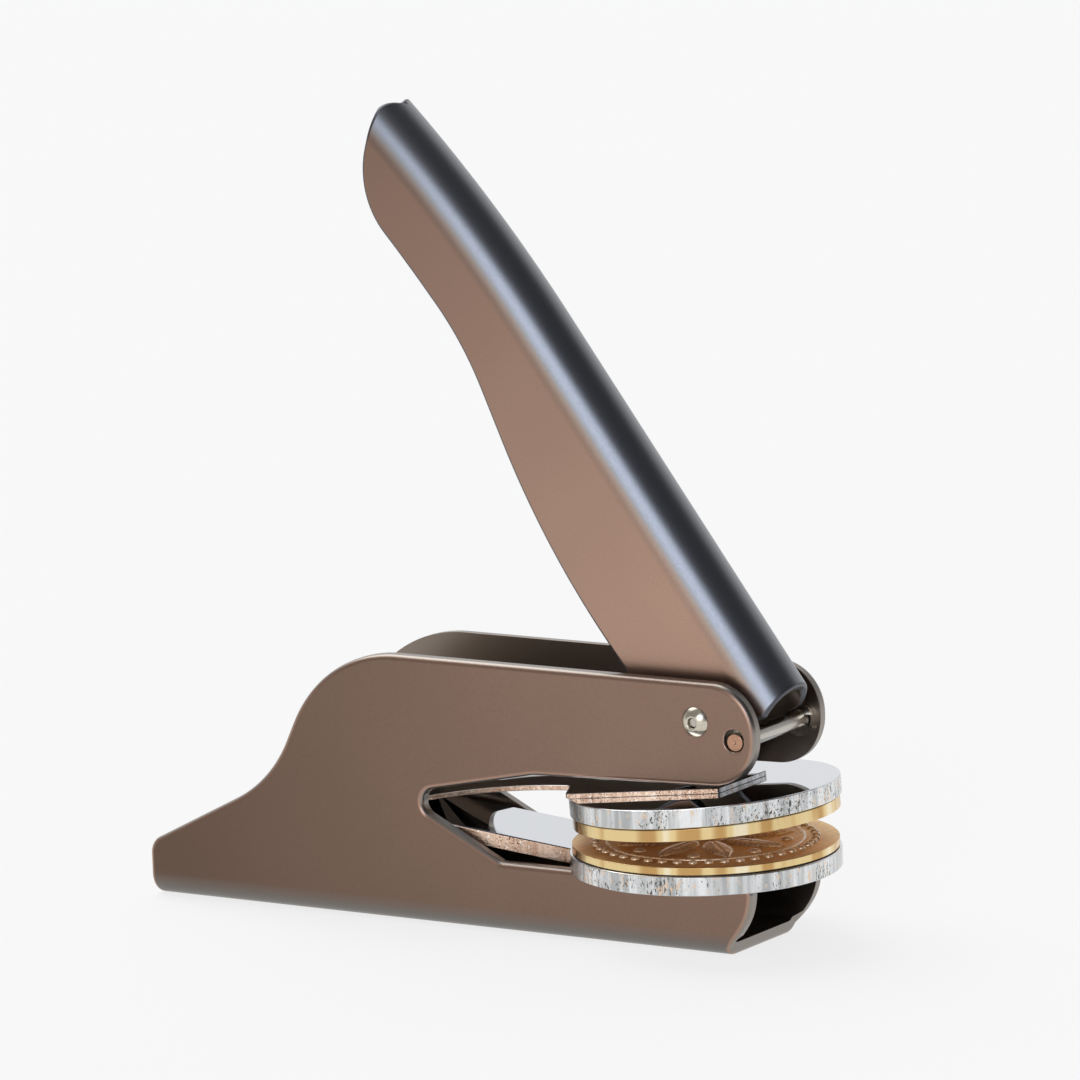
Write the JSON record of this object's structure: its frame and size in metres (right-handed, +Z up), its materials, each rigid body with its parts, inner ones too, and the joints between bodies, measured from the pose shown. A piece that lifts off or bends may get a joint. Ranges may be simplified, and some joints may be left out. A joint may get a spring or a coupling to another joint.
{
  "type": "seal embosser",
  "caption": "Hand seal embosser: a folded bronze-plated steel frame, a channel lever on a pivot, and a slide-in sprung die holder with round chrome platens and brass dies.",
  "frame": {"origin": "where the axis of the two dies meets the surface that the embosser stands on", "axes": "+X forward from the tail to the jaws, +Y across to the embosser's left, +Z up"},
  "size_m": [0.1186, 0.042, 0.1282],
  "materials": {
    "bronze_frame": "satin gunmetal-bronze plating with lighter rolled edges",
    "bronze_handle": "satin gunmetal-bronze plating",
    "nickel": "bright nickel plating",
    "steel": "bright drawn steel",
    "zinc_steel": "dull zinc plating",
    "chrome_plate": "mirror chrome faces with rough cut rims",
    "chrome_sheet": "mirror chrome with rough sheared edges",
    "adhesive": "thin dark adhesive film",
    "brass_die": "satin turned brass, the relief brighter than its field",
    "black_nylon": "moulded, slightly grained",
    "spring_steel": "blued spring steel"
  },
  "bodies": {
    "frame": {"frame": "bronze_frame", "pivot_rivets": "nickel", "rivet_stems": "steel", "pivot_washers": "zinc_steel", "heel_block": "black_nylon", "block_screw": "steel", "latch_spring": "spring_steel", "latch_screw": "steel"},
    "handle": {"handle": "bronze_handle"},
    "stop_pin": {"stop_pin": "steel", "stop_pin_rings": "nickel"},
    "die_holder": {"lower_platen": "chrome_plate", "lower_die_bond": "adhesive", "lower_die": "brass_die", "arm_heel": "chrome_sheet", "heel_rivets": "nickel"},
    "upper_arm": {"spring_arm": "chrome_sheet", "upper_platen": "chrome_plate", "platen_rivets": "steel", "upper_die_bond": "adhesive", "upper_die": "brass_die"}
  },
  "joints": [
    {"name": "handle_hinge", "type": "hinge", "parent": "frame", "child": "handle", "pos_m": [0.0054, 0, 0.0365], "axis": [0, -1, 0], "range_deg": [0, 40]},
    {"name": "holder_slide", "type": "slide", "parent": "frame", "child": "die_holder", "axis": [1, 0, 0], "range_m": [0, 0.085]},
    {"name": "arm_flex", "type": "hinge", "parent": "die_holder", "child": "upper_arm", "pos_m": [-0.054, 0, 0.01733], "axis": [0, 1, 0], "range_deg": [0, 3.6], "stiffness_Nm_per_rad": 25, "springref_deg": -2.86},
    {"name": "pin_spin", "type": "hinge", "parent": "frame", "child": "stop_pin", "pos_m": [0.0122, 0, 0.0338], "axis": [0, 1, 0], "continuous": true}
  ],
  "couplings": [
    {"joint": "arm_flex", "follows": "handle_hinge", "ratio": 0.09}
  ]
}
